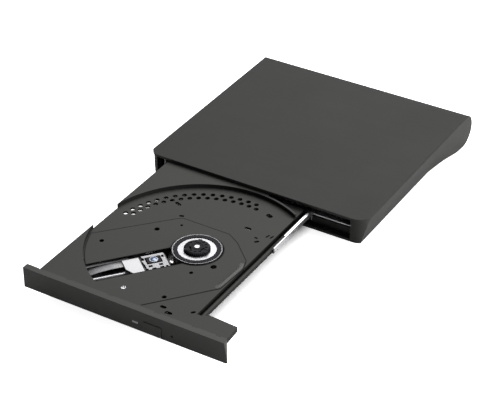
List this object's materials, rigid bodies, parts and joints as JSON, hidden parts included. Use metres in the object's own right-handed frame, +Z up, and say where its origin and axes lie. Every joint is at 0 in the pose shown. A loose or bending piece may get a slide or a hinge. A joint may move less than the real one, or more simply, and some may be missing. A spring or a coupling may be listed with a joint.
{
  "type": "external disc drive",
  "caption": "Flat external optical disc drive with a rounded rear end, shown with its slim tray run out on steel rails, with spindle hub and laser pickup.",
  "frame": {"origin": "on the table under the middle of the open drive's bounding box", "axes": "+X right seen from the front, +Y from the front bezel into the case, +Z up"},
  "size_m": [0.144, 0.2704, 0.0206],
  "materials": {
    "case_plastic": "fine brushed-look moulded plastic",
    "tray_plastic": "fine spark-eroded moulded plastic",
    "bezel_plastic": "fine matte moulded plastic",
    "black_plastic": "smooth black moulded plastic",
    "sheet_steel": "zinc-plated pressed sheet",
    "screw_steel": "ground or plated steel",
    "bright_metal": "bright turned metal",
    "rubber": "soft black rubber",
    "circuit_board": "green solder mask",
    "ribbon": "flat flexible cable",
    "copper": "enamelled copper windings",
    "magnet": "bonded magnet",
    "die_cast": "die-cast body",
    "white_plastic": "white moulded plastic",
    "clear_plastic": "clear moulded plastic"
  },
  "bodies": {
    "case": {"top_cover": "case_plastic", "base_plate": "case_plastic", "rubber_feet": "rubber", "case_screws": "screw_steel", "usb_shell": "sheet_steel", "usb_tongue": "black_plastic", "bridge_board": "circuit_board", "bridge_chips": "black_plastic", "sata_plug": "black_plastic", "chassis_pan": "sheet_steel", "chassis_lid": "sheet_steel", "lid_screws": "screw_steel", "main_board": "circuit_board", "main_board_chips": "black_plastic", "board_screws": "screw_steel", "drive_socket": "black_plastic", "left_rail_guide": "black_plastic", "right_rail_guide": "black_plastic", "latch_pin": "screw_steel", "flex_cable": "ribbon"},
    "left_rail": {"left_rail": "sheet_steel"},
    "right_rail": {"right_rail": "sheet_steel"},
    "tray": {"disc_tray": "tray_plastic", "bezel": "bezel_plastic", "led_lens": "clear_plastic", "front_board": "circuit_board", "eject_switch": "black_plastic", "status_led": "clear_plastic", "tray_bottom_cover": "sheet_steel", "cover_screws": "screw_steel", "traverse_cover": "tray_plastic", "traverse_chassis": "sheet_steel", "damper_bushings": "rubber", "damper_screws": "screw_steel", "motor_base": "sheet_steel", "stator": "copper", "guide_rod_main": "screw_steel", "guide_rod_sub": "screw_steel", "rod_clamps": "black_plastic", "sled_motor": "sheet_steel", "latch_solenoid": "sheet_steel", "pickup_flex": "ribbon"},
    "button": {"eject_button": "bezel_plastic"},
    "spindle": {"turntable": "bright_metal", "friction_ring": "rubber", "rotor_magnet": "magnet", "spindle_shaft": "screw_steel", "hub_chuck": "black_plastic"},
    "claw_1": {"chuck_claw_1": "black_plastic"},
    "claw_2": {"chuck_claw_2": "black_plastic"},
    "claw_3": {"chuck_claw_3": "black_plastic"},
    "sled": {"pickup_body": "die_cast", "pickup_cover": "bright_metal", "pickup_plate": "white_plastic", "feed_nut": "white_plastic"},
    "lens": {"lens_holder": "black_plastic", "objective_lens": "clear_plastic"},
    "feed_screw": {"lead_screw": "screw_steel"},
    "latch": {"latch_lever": "black_plastic"}
  },
  "joints": [
    {"name": "tray_slide", "type": "slide", "parent": "case", "child": "tray", "axis": [0, 1, 0], "range_m": [0, 0.1295], "deforming": ["flex_cable"]},
    {"name": "left_rail_slide", "type": "slide", "parent": "case", "child": "left_rail", "axis": [0, 1, 0], "range_m": [0, 0.06475]},
    {"name": "right_rail_slide", "type": "slide", "parent": "case", "child": "right_rail", "axis": [0, 1, 0], "range_m": [0, 0.06475]},
    {"name": "eject_button_press", "type": "slide", "parent": "tray", "child": "button", "axis": [0, 1, 0], "range_m": [0, 0.0006], "stiffness_N_per_m": 900, "springref_m": -0.0004},
    {"name": "spindle_turn", "type": "hinge", "parent": "tray", "child": "spindle", "pos_m": [0.0029, -0.0701, 0.0146], "axis": [0, 0, 1], "continuous": true},
    {"name": "sled_slide", "type": "slide", "parent": "tray", "child": "sled", "axis": [-0.6401, -0.7683, 0], "range_m": [0, 0.032], "deforming": ["pickup_flex"]},
    {"name": "feed_screw_turn", "type": "hinge", "parent": "tray", "child": "feed_screw", "pos_m": [-0.02829, -0.08316, 0.0116], "axis": [-0.6401, -0.7683, 0], "range_deg": [0, 3840]},
    {"name": "lens_focus", "type": "slide", "parent": "sled", "child": "lens", "axis": [0, 0, 1], "range_m": [-0.0004, 0.0004], "stiffness_N_per_m": 120},
    {"name": "latch_swing", "type": "hinge", "parent": "tray", "child": "latch", "pos_m": [-0.003, -0.0438, 0.0129], "axis": [0, 0, -1], "range_deg": [0, 30], "stiffness_Nm_per_rad": 0.004, "springref_deg": -11.46},
    {"name": "claw_1_press", "type": "slide", "parent": "spindle", "child": "claw_1", "axis": [0.309, -0.9511, 0], "range_m": [0, 0.0005], "stiffness_N_per_m": 400, "springref_m": -0.0003},
    {"name": "claw_2_press", "type": "slide", "parent": "spindle", "child": "claw_2", "axis": [0.6691, 0.7431, 0], "range_m": [0, 0.0005], "stiffness_N_per_m": 400, "springref_m": -0.0003},
    {"name": "claw_3_press", "type": "slide", "parent": "spindle", "child": "claw_3", "axis": [-0.9781, 0.2079, 0], "range_m": [0, 0.0005], "stiffness_N_per_m": 400, "springref_m": -0.0003}
  ],
  "couplings": [
    {"joint": "left_rail_slide", "follows": "tray_slide", "ratio": 0.5},
    {"joint": "right_rail_slide", "follows": "tray_slide", "ratio": 0.5},
    {"joint": "feed_screw_turn", "follows": "sled_slide", "rad_per_m": 2094.4}
  ]
}
